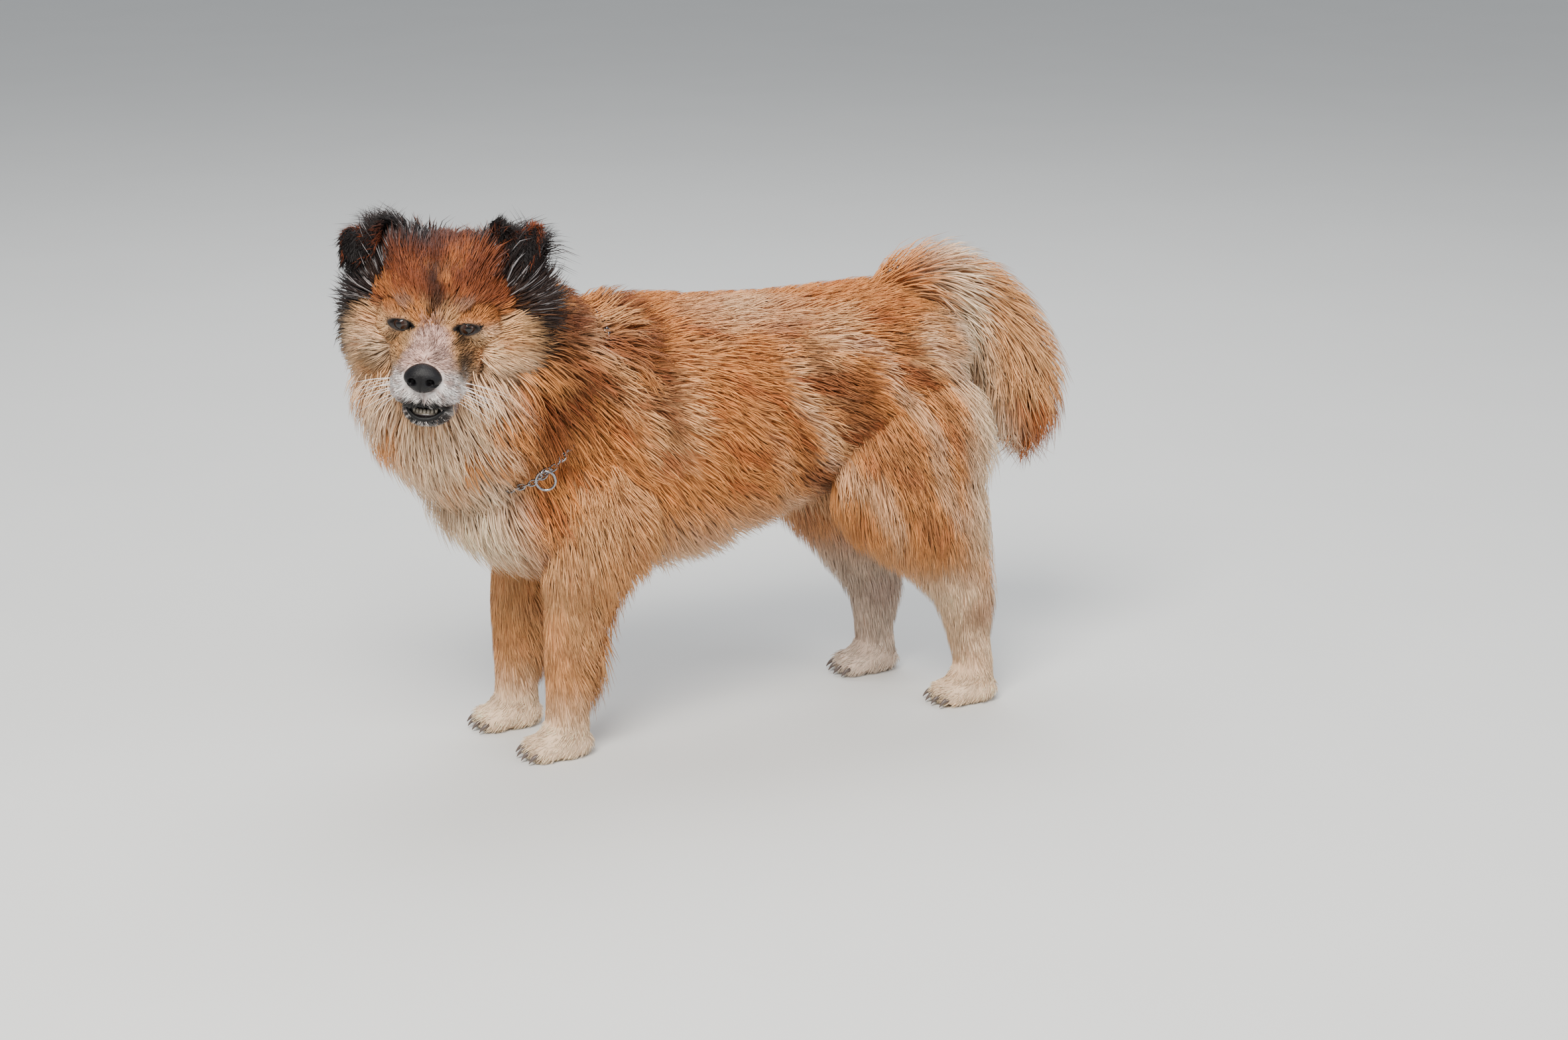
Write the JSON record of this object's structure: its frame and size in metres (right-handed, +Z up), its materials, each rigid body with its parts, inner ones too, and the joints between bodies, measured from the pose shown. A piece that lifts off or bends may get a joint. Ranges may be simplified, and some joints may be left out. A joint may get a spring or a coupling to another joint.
{
  "type": "chow chow dog model",
  "caption": "Life-size still model of a standing long-coated chow chow with its head turned to its left, folded ears, hanging plumed tail and a chain slip collar.",
  "frame": {"origin": "on the floor, under the middle of the model's box", "axes": "+Z up; +X towards the tail end, the dog's chest and head towards -X; +Y to the dog's right side"},
  "size_m": [0.9002, 0.3712, 0.6435],
  "materials": {
    "coat_face": "short dense fur, rust brow, grey muzzle",
    "coat_body": "long soft fur, rust red over cream",
    "coat_tail": "long plumed fur, cream and rust",
    "coat_leg": "short fur with long feathering, tan to cream",
    "coat_ear": "short near-black fur, rust rim",
    "eye": "wet dark brown",
    "nose_leather": "damp black pebbled skin",
    "tooth": "worn, slightly yellow",
    "chain": "polished steel links, darkened between"
  },
  "bodies": {
    "root": {"head": "coat_face", "neck": "coat_body", "chest": "coat_body", "hindquarters": "coat_body", "tail": "coat_tail", "thigh_left": "coat_leg", "thigh_right": "coat_leg", "leg_fore_left": "coat_leg", "leg_fore_right": "coat_leg", "leg_hind_left": "coat_leg", "leg_hind_right": "coat_leg", "ear_left": "coat_ear", "ear_right": "coat_ear", "eye_left": "eye", "eye_right": "eye", "nose": "nose_leather", "teeth_lower": "tooth", "collar": "chain"}
  },
  "joints": []
}
